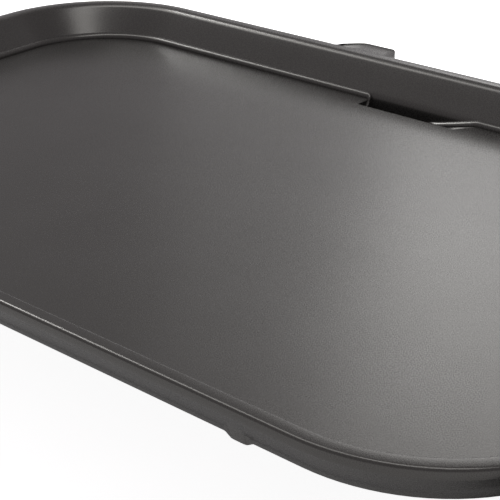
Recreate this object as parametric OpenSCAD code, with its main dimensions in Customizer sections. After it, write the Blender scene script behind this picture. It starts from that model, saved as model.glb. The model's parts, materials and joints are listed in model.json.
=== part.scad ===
// Electric griddle: a cast cooking plate with a drain slot, lifted off a heater base
// that stands on two end supports. Millimetres, +Z up, origin under the middle.

/* [Cooking plate] */
// Length of the plate along X
plate_l = 375; // [340:1:400]
// Width of the plate along Y, without the back tab
plate_w = 250; // [240:1:270]
// Outer corner radius in plan
corner_r = 58; // [50:1:64]
// Height of the rim's top above the table
rim_top_z = 78; // [74:1:90]
// Depth from the rim's top to the cooking surface
recess_d = 14.1; // [13:0.1:16]
// Thickness of the plate under the cooking surface
floor_t = 4; // [3.5:0.1:5]
// Width of the flat lip round the rim, roundings included
lip_w = 5.4; // [4.5:0.1:6]
// Radius of the lip's inner rounding
lip_inner_r = 3; // [1:0.1:3.4]
// Radius of the lip's outer rounding
lip_outer_r = 1; // [0.5:0.1:1.4]
// Height of the lip's upright outer face
lip_face_h = 3.2; // [2.5:0.1:4]
// Depth of the skirt's bottom edge below the rim's top
skirt_d = 11.9; // [11:0.1:13]
// How far the skirt's bottom edge leans in
skirt_in = 4.2; // [3.6:0.1:5]
// Wall thickness of the skirt
skirt_t = 2.4; // [2:0.1:2.6]
// Depth of the ledge that runs round the recess
ledge_d = 11.6; // [11:0.1:12]
// Distance from the plate's edge to the ledge's inner edge
ledge_in = 16.3; // [16:0.1:18]
// Flat width of the ledge
ledge_w = 2.3; // [2:0.1:3]

/* [Drain slot, tab and lugs] */
// X of the drain slot's left end
slot_x0 = -11.7; // [-20:0.1:-5]
// X of the drain slot's right end, at its near edge
slot_x1 = 34.9; // [25:0.1:45]
// Extra length of the slot's far edge at its slanted right end
slot_slant = 5.5; // [2:0.1:7]
// Width of the slot across Y
slot_w = 7.9; // [6:0.1:8.5]
// X where the ledge's ramp starts to fall to the slot
ramp_x1 = 41; // [36:1:60]
// Fall of the ramp at its low end
ramp_drop = 6; // [4:0.1:6]
// X of the back tab's middle
tab_x = -25.3; // [-40:0.1:0]
// How far the tab stands out behind the rim
tab_out = 9.6; // [6:0.1:12]
// Width of the tab where it leaves the rim
tab_base_w = 35; // [30:1:40]
// Width of the tab's flat tip
tab_tip_w = 13.6; // [10:0.1:18]
// X of the two locating lugs under the front skirt
lug_x = 111; // [90:1:120]
// Width of a lug at its root
lug_w = 9.7; // [8:0.1:12]
// How far a lug hangs below the skirt
lug_drop = 1.2; // [1:0.1:2]

/* [Heater base] */
// Depth of the tub's upper step
tub_step_d = 9; // [8:0.5:10]
// Depth of the whole tub
tub_d = 19; // [17:0.5:20]
// Sheet thickness of the tub
tub_t = 1.2; // [1:0.1:1.5]
// Diameter of the sheathed heating element
element_d = 7; // [6:0.1:7]
// Height of the rubber pads that the plate rests on
pad_h = 2; // [2:0.1:2.5]

/* [Supports and handles] */
// Thickness of an end support's beam along X
beam_w = 34; // [32:1:36]
// Length of an end support's beam along Y
beam_l = 140; // [138:1:144]
// Height of the rubber feet
foot_h = 4; // [3:0.5:6]
// Length of a handle grip
grip_l = 100; // [96:1:101]
// Diameter of a handle grip
grip_d = 18; // [16:0.5:20]
// Distance from the plate's end to the far side of the grip
grip_reach = 44.5; // [42:0.5:50]

/* [Controls] */
// Diameter of the temperature knob
knob_d = 34; // [30:1:34]
// Height of the temperature knob
knob_h = 15; // [12:1:15]
// Width of the control box along Y
box_w = 58; // [56:1:60]
// Height of the control box's underside above the table
box_z0 = 14; // [12:1:16]

/* [Drip tray] */
// Length of the drip tray along X
tray_l = 120; // [100:1:130]
// Depth of the drip tray along Y
tray_w = 84; // [70:1:90]
// Height of the drip tray
tray_h = 24; // [20:1:24]

/* [Hidden] */
$fn = 64;

eps = 0.01;
gap = 0.3;
run_fit = 0.05;
// the tab makes the object deeper at the back, so the plate sits forward of the origin
plate_y = -tab_out / 2;
half_l = plate_l / 2;
half_w = plate_w / 2;
floor_z = rim_top_z - recess_d;
under_z = floor_z - floor_t;
wall_in = ledge_in - ledge_w;
ledge_r = 1.2;
tab_t = 3.4;
tab_drop = 0.5;
tab_tip_r = 3;
tab_root_r = 9;
lug_t = 2.4;
lug_tip = 0.22;

// heater tub: upper and lower steps, with the back held clear of the drain slot
beam_z1 = under_z - pad_h;
flange_z0 = beam_z1 - 2;
tub_x = half_l - 39.5;
tub_flange = 11;
front_flange = 8;
tub_front = half_w - 31;
tub_back = half_w - 37;
tub_back_flange = half_w - 31;
step_in = 16;
tub_z0 = flange_z0 + tub_t - tub_d;
step_z = flange_z0 + tub_t - tub_step_d;
tub_r = 30;
flange_r = tub_r + 4;
lower_r = tub_r - 8;
back_ease = 4;
screw_x = tub_x + 5;
reflector_t = 0.8;
pan_in = 3;
reflector_z = step_z + tub_t;
element_z = under_z - gap - element_d / 2;
leg_out_y = 66;
leg_in_y = 22;
bend_r = 22;
corner_bend_r = 30;
bend_far_x = -100;
bend_near_x = 92;
bend_mid_x = -80;
terminal_x = tub_x - 8;
terminal_collar_h = 4;
terminal_pin_d = 2.5;
terminal_pin_l = 6;
clip_xs = [-62, 62];
clip_w = 8;
clip_over = 6;
fuse_x = 80;
fuse_d = 4;
fuse_l = 12;
sensor_d = 12;
sensor_h = 6;
sensor_stem_d = 4;
sensor_hole_d = sensor_d + 2;
sensor_travel = 2;
stem_gap = 1;
spring_gap = 1.6;
spring_wire = 0.9;
spring_turns = 6;

// end supports
beam_x0 = half_l - beam_w - 3.5;
beam_x1 = beam_x0 + beam_w;
support_x = beam_x0 + beam_w / 2;
beam_z0 = beam_z1 - 14;
pad_d = 12;
pad_x = beam_x1 - 15;
pad_y = 60;
rebate_w = tub_x + tub_flange + 1 - beam_x0;
support_leg_y = 54;
support_leg = [24, 26];
leg_r = 7;
beam_r = 4;
arm_y = 40;
arm_w = 14;
arm_h = 12;
arm_root = 2;
grip_x = half_l + grip_reach - grip_d / 2;
grip_z = beam_z1 - arm_h / 2 - 1;
grip_round = 0.6;
grip_screw_x = grip_x - 4;
grip_screw_sink = 0.6;
foot_d = 18;
foot_stem_d = 6;
foot_stem_h = 8;
foot_stem_clear = 0.5;
screw_d = 4;
screw_fit = 0.1;
screw_clear = 0.4;
screw_l = 10;
screw_head_d = 7;
screw_head_h = 1.6;
screw_y = 30;

// controls
box_x0 = beam_x1;
box_x1 = half_l + grip_reach - 1;
box_y = -85.5;
box_z1 = beam_z1;
box_t = 2.5;
box_r = 5;
knob_x = half_l + 23;
knob_y = box_y + 7;
lens_y = box_y - 20;
lens_d = 8;
lens_rim = 1;
lens_h = 1.4;
neon_d = 4;
neon_l = 11.6;
thermo = [26, 26, 14];
bush_d = 8.8;
bush_h = 3;
bush_hole_d = 9;
nut_d = 14;
nut_h = 2.4;
bore_floor = 3;
shaft_d = 6;
shaft_top = 11;
knob_gap = 1;
knob_rim = 4;
knob_skirt = 0.4;
flute_a = 30;
flute_r = 1.4;
flute_low = 2;
pointer = [3, 7, knob_h * 0.55];
knob_hollow_d = 18;
knob_hollow_h = 6;
inlet = [22, 28, 20];
inlet_z = box_z0 + 14;
inlet_wall = 2;
pin = [13, 2, 4];
pin_yz = [[-7, -1.5], [7, -1.5], [0, 2.5]];
block = [12, 22, 10];
wire_d = 2.2;
wire_z = reflector_z + reflector_t + 1.6;
duct_h = 3.6;
wire_ys = [-68.2, -63.8];
wire_margin = 1.8;
wire_tail = 6;
wire_reach = 10;
duct_y0 = wire_ys[0] - wire_margin;
duct_w = wire_ys[1] - wire_ys[0] + 2 * wire_margin;
box_screw_ys = [-73, -64.3];
box_screw_z = beam_z0 + 2.8;
small_screw_d = 3;
small_hole_d = 3.2;
box_screw_l = 11;
box_screw_bore = 12;
box_screw_head = [5.5, 1.6];
cover_play = 0.2;
cover_screw_y = 21;
cover_screw_l = 9;
cover_screw_head = [6, 1.4];
box_mid_x = (box_x0 + box_x1) / 2;

// drip tray, chute and rails
slot_mid_x = (slot_x0 + slot_x1) / 2;
tray_z1 = tub_z0 - 6;
tray_z0 = tray_z1 - tray_h;
tray_t = 1.5;
tray_back = half_w - 1;
tray_flange = 6;
tray_lip = 7;
tray_lip_w = 40;
rail_t = 1.5;
rail_l = 72;
rail_play = 1;
rail_drop = 4;
rail_back = 10;
rail_lip_gap = 1.5;
chute_t = 1.2;
chute_x = 34;
chute_rise = 3;
chute_tab_w = 12;
chute_tab_in = 4;
chute_y0 = tub_back_flange;
chute_y1 = half_w - 10;

module on_plate() { translate([0, plate_y, 0]) children(); }

module rounded_rect(l, w, r) {
    square([l, w - 2 * r], center = true);
    square([l - 2 * r, w], center = true);
    for (x = [-1, 1], y = [-1, 1])
        translate([x * (l / 2 - r), y * (w / 2 - r)]) circle(r);
}

// a rounded rectangle given by its sides, so that front and back may differ
module rounded_box(x, y0, y1, r, h) {
    translate([0, (y0 + y1) / 2, 0]) linear_extrude(h) rounded_rect(2 * x, y1 - y0, r);
}

function arc(cx, cy, r, a0, a1, n) = [for (i = [0:n]) let (a = a0 + (a1 - a0) * i / n)
    [cx + r * cos(a), cy + r * sin(a)]];

// section of the rim: X is the distance in from the plate's edge, Y the height from the lip
function rim_section() = concat(
    [[skirt_in - 0.4, -skirt_d + 0.6], [0.7, -lip_face_h - 0.4], [0.2, -lip_face_h]],
    arc(lip_outer_r, -lip_outer_r, lip_outer_r, 180, 90, 4),
    arc(lip_w - lip_inner_r, -lip_inner_r, lip_inner_r, 90, 38, 4),
    [[wall_in - 0.5, -ledge_d + 0.6], [wall_in, -ledge_d]],
    arc(ledge_in - ledge_r, -ledge_d - ledge_r, ledge_r, 90, 0, 4),
    [[ledge_in, -recess_d - eps], [ledge_in + 3, -recess_d - eps]],
    [[ledge_in + 3, -recess_d - floor_t], [ledge_in - 3.1, -recess_d - floor_t]],
    [[wall_in - 2.4, -ledge_d - 2.4], [lip_w + 0.4, -5.2], [lip_w - 1.4, -lip_face_h]],
    [[skirt_t + 0.8, -lip_face_h - 0.2], [skirt_in + skirt_t, -skirt_d + 0.4]],
    [[skirt_in + skirt_t - 0.6, -skirt_d], [skirt_in + 0.2, -skirt_d]]);

module rim_corner() {
    translate([half_l - corner_r, half_w - corner_r, rim_top_z]) rotate_extrude(angle = 90)
        translate([corner_r, 0]) mirror([1, 0]) polygon(rim_section());
}

module rim_side(length, reach) {
    translate([reach, 0, rim_top_z]) rotate([90, 0, 0]) linear_extrude(length, center = true)
        mirror([1, 0]) polygon(rim_section());
}

module plate_rim() {
    for (x = [0, 1], y = [0, 1]) mirror([x, 0, 0]) mirror([0, y, 0]) rim_corner();
    for (x = [0, 1]) mirror([x, 0, 0]) rim_side(plate_w - 2 * corner_r + eps, half_l);
    for (a = [90, 270]) rotate([0, 0, a]) rim_side(plate_l - 2 * corner_r + eps, half_w);
}

// plan of the drain slot, square at its left end and slanted at its right
module slot_plan(y0, y1) {
    far_x = slot_x1 + slot_slant * (y1 - y0) / slot_w;
    polygon([[slot_x0, y0], [slot_x1, y0], [far_x, y1], [slot_x0, y1]]);
}

module tab_plan() {
    base = tab_base_w / 2;
    tip = tab_tip_w / 2;
    polygon(concat([[-base, -3], [-base, 0]],
        arc(-base, tab_root_r, tab_root_r, 270, 318, 6),
        arc(-tip, tab_out - tab_tip_r, tab_tip_r, 130, 90, 4),
        arc(tip, tab_out - tab_tip_r, tab_tip_r, 90, 50, 4),
        arc(base, tab_root_r, tab_root_r, 222, 270, 6),
        [[base, 0], [base, -3]]));
}

module front_lug() {
    rotate([90, 0, 0]) linear_extrude(lug_t) polygon([[-lug_w / 2, 2], [lug_w / 2, 2],
        [lug_w / 2, 0], [lug_w * lug_tip, -lug_drop], [-lug_w * lug_tip, -lug_drop], [-lug_w / 2, 0]]);
}

module cooking_plate() {
    ledge_y = half_w - ledge_in;
    slot_y0 = ledge_y - slot_w;
    color("dimgray") on_plate() difference() {
        union() {
            plate_rim();
            translate([0, 0, under_z]) linear_extrude(floor_t)
                rounded_rect(plate_l - 2 * ledge_in - 2, plate_w - 2 * ledge_in - 2,
                    corner_r - ledge_in - 1);
            translate([tab_x, half_w, rim_top_z - tab_drop - tab_t]) linear_extrude(tab_t) tab_plan();
            for (x = [-1, 1]) translate([x * lug_x, skirt_in + 2.2 - half_w, rim_top_z - skirt_d])
                front_lug();
        }
        // the slot goes through the floor
        translate([0, 0, under_z - 1]) linear_extrude(floor_t + recess_d - ledge_d)
            slot_plan(slot_y0, ledge_y + eps);
        // the ledge is cut back over the slot, and falls to it in a ramp on the right
        translate([0, ledge_y + ledge_w + eps, 0]) rotate([90, 0, 0])
            linear_extrude(ledge_w + eps) polygon([[slot_x0 - 0.3, under_z - 1],
                [slot_x0 - 0.3, rim_top_z - ledge_d + eps],
                [ramp_x1, rim_top_z - ledge_d + eps],
                [ramp_x1 - 22, rim_top_z - ledge_d - ramp_drop],
                [ramp_x1 - 22, under_z - 1]]);
    }
}

module plate_pads() {
    color("darkred") on_plate() for (x = [-1, 1], y = [-1, 1])
        translate([x * pad_x, y * pad_y, beam_z1]) cylinder(d = pad_d, h = pad_h);
}

module tub_sheet(x, y0, y1, r, z) {
    translate([0, 0, z]) rounded_box(x, y0, y1, r, tub_t);
}

module heater_tub() {
    front = -tub_front;
    flange_front = front - front_flange;
    step_x = tub_x - step_in;
    step_front = front + step_in;
    step_back = tub_back - step_in + back_ease;
    color("silver") on_plate() difference() {
        union() {
            tub_sheet(tub_x + tub_flange, flange_front, tub_back_flange, flange_r, flange_z0);
            translate([0, 0, step_z]) rounded_box(tub_x, front, tub_back, tub_r,
                flange_z0 - step_z + tub_t);
            translate([0, 0, tub_z0]) rounded_box(step_x, step_front, step_back, lower_r,
                step_z - tub_z0 + tub_t);
        }
        translate([0, 0, step_z + tub_t]) rounded_box(tub_x - tub_t, front + tub_t,
            tub_back - tub_t, tub_r - tub_t, tub_d);
        translate([0, 0, tub_z0 + tub_t]) rounded_box(step_x - tub_t, step_front + tub_t,
            step_back - tub_t, lower_r - tub_t, tub_d);
        for (x = [-1, 1], y = [-1, 1]) translate([x * screw_x, y * screw_y, flange_z0 - 1])
            cylinder(d = screw_d + screw_clear, h = tub_t + 2);
        // wires pass to the control box through the right-hand wall
        translate([tub_x - tub_t - 1, duct_y0 - plate_y, wire_z - duct_h / 2])
            cube([tub_t + 2, duct_w, duct_h]);
    }
}

module reflector_pan() {
    color("gainsboro") on_plate() difference() {
        translate([0, 0, reflector_z]) rounded_box(tub_x - pan_in, pan_in - tub_front,
            tub_back - pan_in, tub_r - pan_in, reflector_t);
        translate([0, 0, reflector_z - 1]) cylinder(d = sensor_hole_d, h = reflector_t + 2);
    }
}

module tube_run(x0, x1, y) {
    translate([x0, y, element_z]) rotate([0, 90, 0]) cylinder(d = element_d, h = x1 - x0);
}

module tube_bend(x, y, r, a0, sweep) {
    translate([x, y, element_z]) rotate([0, 0, a0]) rotate_extrude(angle = sweep)
        translate([r, 0]) circle(d = element_d);
}

module heating_element() {
    far_y = leg_out_y - corner_bend_r;
    color("slategray") on_plate() {
        tube_run(bend_far_x, terminal_x, -leg_out_y);
        tube_bend(bend_far_x, -far_y, corner_bend_r, 180, 90);
        translate([bend_far_x - corner_bend_r, -far_y, element_z]) rotate([-90, 0, 0])
            cylinder(d = element_d, h = 2 * far_y);
        tube_bend(bend_far_x, far_y, corner_bend_r, 90, 90);
        tube_run(bend_far_x, bend_near_x, leg_out_y);
        tube_bend(bend_near_x, leg_out_y - bend_r, bend_r, -90, 180);
        tube_run(bend_mid_x, bend_near_x, leg_in_y);
        tube_bend(bend_mid_x, 0, bend_r, 90, 180);
        tube_run(bend_mid_x, terminal_x, -leg_in_y);
    }
}

module element_clips() {
    z0 = reflector_z + reflector_t;
    color("gray") on_plate() for (x = clip_xs)
        translate([x - clip_w / 2, -leg_out_y - clip_over, z0])
            cube([clip_w, 2 * (leg_out_y + clip_over), element_z - element_d / 2 - z0]);
}

module element_terminals() {
    color("ivory") on_plate() for (y = [-leg_out_y, -leg_in_y])
        translate([terminal_x, y, element_z]) rotate([0, 90, 0]) {
            cylinder(d = element_d - 2 * gap, h = terminal_collar_h);
            cylinder(d = terminal_pin_d, h = terminal_pin_l);
        }
}

module thermal_fuse() {
    color("tan") on_plate() translate([fuse_x, 0, reflector_z + reflector_t + fuse_d / 2])
        rotate([0, 90, 0]) cylinder(d = fuse_d, h = fuse_l);
}

module sensor_probe() {
    head_z0 = under_z - gap - sensor_h;
    stem_z0 = tub_z0 + tub_t + sensor_travel + stem_gap;
    color("goldenrod") on_plate() {
        translate([0, 0, head_z0]) cylinder(d = sensor_d, h = sensor_h);
        translate([0, 0, stem_z0]) cylinder(d = sensor_stem_d, h = head_z0 - stem_z0);
    }
}

// a round wire wound on a helix, closed at both ends
module coil_spring(mean_r, wire, height, turns) {
    sides = 8;
    per_turn = 16;
    steps = per_turn * turns;
    rise = (height - wire) / steps;
    function ring(i) = [for (k = [0:sides - 1]) let (a = 360 * i / per_turn, b = 360 * k / sides)
        [(mean_r + wire / 2 * cos(b)) * cos(a), (mean_r + wire / 2 * cos(b)) * sin(a),
            wire / 2 + i * rise + wire / 2 * sin(b)]];
    points = [for (i = [0:steps]) each ring(i)];
    walls = [for (i = [0:steps - 1], k = [0:sides - 1]) let (n = (k + 1) % sides)
        [i * sides + k, (i + 1) * sides + k, (i + 1) * sides + n, i * sides + n]];
    first = [for (k = [0:sides - 1]) k];
    last = [for (k = [sides - 1:-1:0]) steps * sides + k];
    polyhedron(points, concat(walls, [first, last]));
}

module sensor_spring() {
    z0 = tub_z0 + tub_t;
    color("lightsteelblue") on_plate() translate([0, 0, z0])
        coil_spring(sensor_stem_d / 2 + spring_gap, spring_wire, under_z - gap - sensor_h - z0,
            spring_turns);
}

module end_support() {
    difference() {
        union() {
            translate([support_x, 0, beam_z0]) linear_extrude(beam_z1 - beam_z0)
                rounded_rect(beam_w, beam_l, beam_r);
            for (y = [-1, 1]) {
                translate([support_x, y * support_leg_y, foot_h])
                    linear_extrude(beam_z0 - foot_h + 1)
                        rounded_rect(support_leg[0], support_leg[1], leg_r);
                translate([beam_x1 - arm_root, y * arm_y - arm_w / 2, grip_z - arm_h / 2])
                    cube([grip_x - beam_x1 + arm_root, arm_w, arm_h]);
            }
        }
        translate([beam_x0 - 1, -beam_l, flange_z0]) cube([rebate_w + 1, 2 * beam_l, 3]);
        for (y = [-1, 1]) {
            translate([screw_x, y * screw_y, beam_z0 - 1])
                cylinder(d = screw_d, h = beam_z1 - beam_z0 + 2);
            translate([support_x, y * support_leg_y, foot_h - 1])
                cylinder(d = foot_stem_d, h = foot_stem_h + foot_stem_clear + 1);
        }
    }
}

module left_end_support() {
    color("black") on_plate() mirror([1, 0, 0]) end_support();
}

module right_end_support() {
    color("black") on_plate() difference() {
        end_support();
        translate([beam_x0 - 1, duct_y0 - plate_y, wire_z - duct_h / 2])
            cube([beam_w + 2, duct_w, duct_h]);
        for (y = box_screw_ys) translate([beam_x1 - box_screw_bore, y - plate_y, box_screw_z])
            rotate([0, 90, 0]) cylinder(d = small_screw_d, h = box_screw_bore + 2);
    }
}

module handle_grip() {
    r = grip_d / 2;
    end_r = r * grip_round;
    difference() {
        translate([grip_x, 0, grip_z]) rotate([90, 0, 0]) rotate_extrude()
            polygon(concat([[0, -grip_l / 2]], arc(r - end_r, end_r - grip_l / 2, end_r, -90, 0, 6),
                arc(r - end_r, grip_l / 2 - end_r, end_r, 0, 90, 6), [[0, grip_l / 2]]));
        for (y = [-1, 1]) {
            translate([grip_x - grip_d, y * arm_y - arm_w / 2, grip_z - arm_h / 2])
                cube([grip_d, arm_w, arm_h]);
            translate([grip_screw_x, y * arm_y, grip_z - r - 1]) cylinder(d = screw_d, h = r);
        }
    }
}

module left_handle_grip() { color("dimgray") on_plate() mirror([1, 0, 0]) handle_grip(); }

module right_handle_grip() { color("dimgray") on_plate() handle_grip(); }

module rubber_feet() {
    color("darkslategray") on_plate() for (x = [-1, 1], y = [-1, 1])
        translate([x * support_x, y * support_leg_y, 0]) {
            cylinder(d = foot_d, h = foot_h);
            cylinder(d = foot_stem_d - screw_fit, h = foot_h + foot_stem_h);
        }
}

module tub_screws() {
    color("silver") on_plate() for (x = [-1, 1], y = [-1, 1])
        translate([x * screw_x, y * screw_y, flange_z0 + tub_t]) {
            translate([0, 0, -screw_l]) cylinder(d = screw_d - screw_fit, h = screw_l + eps);
            cylinder(d = screw_head_d, h = screw_head_h);
        }
}

module grip_screws() {
    r = grip_d / 2;
    color("silver") on_plate() for (x = [-1, 1], y = [-1, 1])
        translate([x * grip_screw_x, y * arm_y, grip_z - r + grip_screw_sink])
            cylinder(d = screw_d - screw_fit, h = r - arm_h / 2 - grip_screw_sink);
}

module control_box() {
    depth = box_x1 - box_x0;
    height = box_z1 - box_z0;
    color("black") difference() {
        translate([box_mid_x, box_y, box_z0]) linear_extrude(height)
            rounded_rect(depth, box_w, box_r);
        translate([box_mid_x, box_y, box_z0 - 1]) linear_extrude(height - box_t + 1)
            rounded_rect(depth - 2 * box_t, box_w - 2 * box_t, box_r - box_t);
        translate([knob_x, knob_y, box_z1 - box_t - 1]) cylinder(d = bush_hole_d, h = box_t + 2);
        translate([knob_x, lens_y, box_z1 - box_t - 1]) cylinder(d = lens_d, h = box_t + 2);
        translate([box_x1 - box_t - 1, box_y - inlet[1] / 2, inlet_z - inlet[2] / 2])
            cube([box_t + 2, inlet[1], inlet[2]]);
        translate([box_x0 - 1, duct_y0, wire_z - duct_h / 2]) cube([box_t + 2, duct_w, duct_h]);
        for (y = box_screw_ys) translate([box_x0 - 1, y, box_screw_z]) rotate([0, 90, 0])
            cylinder(d = small_hole_d, h = box_t + 2);
    }
}

module box_screws() {
    color("silver") for (y = box_screw_ys) translate([box_x0, y, box_screw_z])
        rotate([0, 90, 0]) {
            translate([0, 0, -box_screw_l])
                cylinder(d = small_screw_d - screw_fit, h = box_screw_l + box_t);
            translate([0, 0, box_t]) cylinder(d = box_screw_head[0], h = box_screw_head[1]);
        }
}

module control_box_cover() {
    inner_l = box_x1 - box_x0 - 2 * box_t - cover_play;
    color("black") difference() {
        translate([box_mid_x, box_y, box_z0]) linear_extrude(box_t)
            rounded_rect(inner_l, box_w - 2 * box_t - cover_play, box_r - box_t);
        for (y = [-1, 1]) translate([box_mid_x, box_y + y * cover_screw_y, box_z0 - 1])
            cylinder(d = small_hole_d, h = box_t + 2);
    }
}

module cover_screws() {
    color("silver") for (y = [-1, 1])
        translate([box_mid_x, box_y + y * cover_screw_y, box_z0 - cover_screw_head[1]]) {
            cylinder(d = cover_screw_head[0], h = cover_screw_head[1]);
            cylinder(d = small_screw_d, h = cover_screw_l);
        }
}

module thermostat_body() {
    z1 = box_z1 - box_t;
    color("ivory") difference() {
        union() {
            translate([knob_x - thermo[0] / 2, knob_y - thermo[1] / 2, z1 - thermo[2]])
                cube(thermo);
            translate([knob_x, knob_y, z1 - eps]) cylinder(d = bush_d, h = box_t + bush_h);
        }
        translate([knob_x, knob_y, z1 - thermo[2] + bore_floor])
            cylinder(d = shaft_d + 2 * run_fit, h = thermo[2] + box_t + bush_h);
    }
}

module thermostat_nut() {
    color("silver") difference() {
        translate([knob_x, knob_y, box_z1]) cylinder(d = nut_d, h = nut_h, $fn = 6);
        translate([knob_x, knob_y, box_z1 - 1]) cylinder(d = bush_hole_d, h = nut_h + 2);
    }
}

module thermostat_shaft() {
    z0 = box_z1 - box_t - thermo[2] + bore_floor + 0.2;
    color("silver") translate([knob_x, knob_y, z0])
        cylinder(d = shaft_d, h = box_z1 + shaft_top - z0);
}

module control_knob() {
    z0 = box_z1 + knob_gap;
    color("dimgray") difference() {
        union() {
            translate([knob_x, knob_y, z0]) cylinder(d = knob_d, h = knob_h * knob_skirt);
            translate([knob_x, knob_y, z0]) cylinder(d = knob_d - 2 * knob_rim, h = knob_h);
            for (a = [0:flute_a:360 - flute_a]) translate([knob_x, knob_y, z0]) rotate([0, 0, a])
                translate([knob_d / 2 - knob_rim, 0, 0]) cylinder(r = flute_r, h = knob_h - flute_low);
            translate([knob_x - pointer[0] / 2, knob_y + knob_d / 2 - pointer[1], z0]) cube(pointer);
        }
        translate([knob_x, knob_y, z0 - 1]) cylinder(d = knob_hollow_d, h = knob_hollow_h + 1);
        translate([knob_x, knob_y, z0 - 1]) cylinder(d = shaft_d, h = box_z1 + shaft_top - z0 + 1);
    }
}

module indicator_lens() {
    color("orangered") translate([knob_x, lens_y, box_z1 - box_t]) {
        cylinder(d = lens_d - screw_fit, h = box_t);
        translate([0, 0, box_t]) cylinder(d1 = lens_d + 2 * lens_rim, d2 = lens_d, h = lens_h);
    }
}

module neon_lamp() {
    color("orange") translate([knob_x, lens_y, box_z1 - box_t - neon_l - 0.4])
        cylinder(d = neon_d, h = neon_l);
}

module terminal_block() {
    color("ivory") translate([box_x0 + box_t + 2, box_y + 2, box_z0 + box_t + 0.1]) cube(block);
}

module inlet_socket() {
    z0 = inlet_z - inlet[2] / 2;
    color("black") difference() {
        translate([box_x1 - inlet[0], box_y - inlet[1] / 2, z0]) cube(inlet);
        translate([box_x1 - inlet[0] + inlet_wall + 1, box_y - inlet[1] / 2 + inlet_wall,
            z0 + inlet_wall]) cube([inlet[0], inlet[1] - 2 * inlet_wall, inlet[2] - 2 * inlet_wall]);
    }
}

module inlet_pins() {
    x0 = box_x1 - inlet[0] + inlet_wall + 1;
    color("gold") for (p = pin_yz)
        translate([x0, box_y + p[0] - pin[1] / 2, inlet_z + p[1] - pin[2] / 2]) cube(pin);
}

module inner_wires() {
    color("firebrick") for (y = wire_ys) translate([tub_x - wire_tail, y, wire_z])
        rotate([0, 90, 0]) cylinder(d = wire_d, h = box_x0 + box_t + wire_reach - tub_x + wire_tail);
}

module drip_chute() {
    x0 = slot_mid_x - chute_x;
    z0 = tray_z1 + 2;
    color("dimgray") on_plate() {
        difference() {
            union() {
                translate([x0, chute_y0, z0])
                    cube([2 * chute_x, chute_y1 - chute_y0, under_z - gap - z0]);
                translate([x0, chute_y1 - chute_t, z0])
                    cube([2 * chute_x, chute_t, under_z + chute_rise - z0]);
            }
            translate([x0 + chute_t, chute_y0 + chute_t, z0 - 1])
                cube([2 * (chute_x - chute_t), chute_y1 - chute_y0 - 2 * chute_t, rim_top_z]);
        }
        for (x = [x0 + chute_tab_in, slot_mid_x + chute_x - chute_tab_in - chute_tab_w])
            translate([x, tub_back, flange_z0 - chute_t])
                cube([chute_tab_w, chute_y0 - tub_back + 1, chute_t]);
    }
}

module tray_rails() {
    rail_z = tray_z1 - rail_drop;
    rail_y1 = tray_back - rail_back;
    half = tray_l / 2;
    outer = half + tray_flange + rail_play;
    color("gray") on_plate() for (s = [-1, 1]) {
        x_web = s > 0 ? outer : -outer - rail_t;
        x_lip = s > 0 ? half + rail_lip_gap : -outer - rail_t;
        translate([slot_mid_x + x_web, rail_y1 - rail_l, rail_z])
            cube([rail_t, rail_l, tub_z0 - rail_z]);
        translate([slot_mid_x + x_lip, rail_y1 - rail_l, rail_z])
            cube([outer - half - rail_lip_gap + rail_t, rail_l, rail_t]);
    }
}

module drip_tray() {
    half = tray_l / 2;
    y0 = tray_back - tray_w;
    color("lightgray") on_plate() translate([slot_mid_x, 0, 0]) difference() {
        union() {
            translate([-half, y0, tray_z0]) cube([tray_l, tray_w, tray_h]);
            translate([-half - tray_flange, y0, tray_z1 - tray_t])
                cube([tray_l + 2 * tray_flange, tray_w, tray_t]);
            translate([-tray_lip_w / 2, tray_back - eps, tray_z1 - tray_t])
                cube([tray_lip_w, tray_lip, tray_t]);
        }
        translate([tray_t - half, y0 + tray_t, tray_z0 + tray_t])
            cube([tray_l - 2 * tray_t, tray_w - 2 * tray_t, tray_h]);
    }
}

cooking_plate();
plate_pads();
heater_tub();
reflector_pan();
heating_element();
element_clips();
element_terminals();
thermal_fuse();
sensor_probe();
sensor_spring();
left_end_support();
right_end_support();
left_handle_grip();
right_handle_grip();
rubber_feet();
tub_screws();
grip_screws();
control_box();
control_box_cover();
box_screws();
cover_screws();
thermostat_body();
thermostat_nut();
thermostat_shaft();
control_knob();
indicator_lens();
neon_lamp();
terminal_block();
inlet_socket();
inlet_pins();
inner_wires();
drip_chute();
tray_rails();
drip_tray();
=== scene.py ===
"""Electric griddle: a cast non-stick plate on a heater base, in a pale studio."""
import json
import math

import bmesh
import bpy
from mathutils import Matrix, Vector


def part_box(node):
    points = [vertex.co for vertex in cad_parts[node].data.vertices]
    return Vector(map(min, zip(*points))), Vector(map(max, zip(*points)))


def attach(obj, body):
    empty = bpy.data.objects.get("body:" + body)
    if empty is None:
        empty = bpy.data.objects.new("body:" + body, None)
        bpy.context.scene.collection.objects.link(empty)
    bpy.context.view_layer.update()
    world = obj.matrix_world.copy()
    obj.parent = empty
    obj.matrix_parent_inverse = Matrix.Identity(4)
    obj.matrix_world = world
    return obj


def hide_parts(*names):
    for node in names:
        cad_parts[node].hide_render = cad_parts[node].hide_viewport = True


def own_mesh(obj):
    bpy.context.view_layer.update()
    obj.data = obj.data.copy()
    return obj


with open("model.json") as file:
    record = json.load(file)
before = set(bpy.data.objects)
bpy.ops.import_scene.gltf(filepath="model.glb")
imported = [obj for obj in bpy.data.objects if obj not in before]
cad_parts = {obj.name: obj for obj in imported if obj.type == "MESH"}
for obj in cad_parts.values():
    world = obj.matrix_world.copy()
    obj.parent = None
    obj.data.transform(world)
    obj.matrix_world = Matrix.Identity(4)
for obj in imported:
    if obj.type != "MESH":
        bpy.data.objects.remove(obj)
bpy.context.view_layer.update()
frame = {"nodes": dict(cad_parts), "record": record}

MM = 0.001
THIN = 0.01 * MM        # a gap too small to see, which keeps two points apart
SAME = 1e-6             # lengths closer than this are the same

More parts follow.
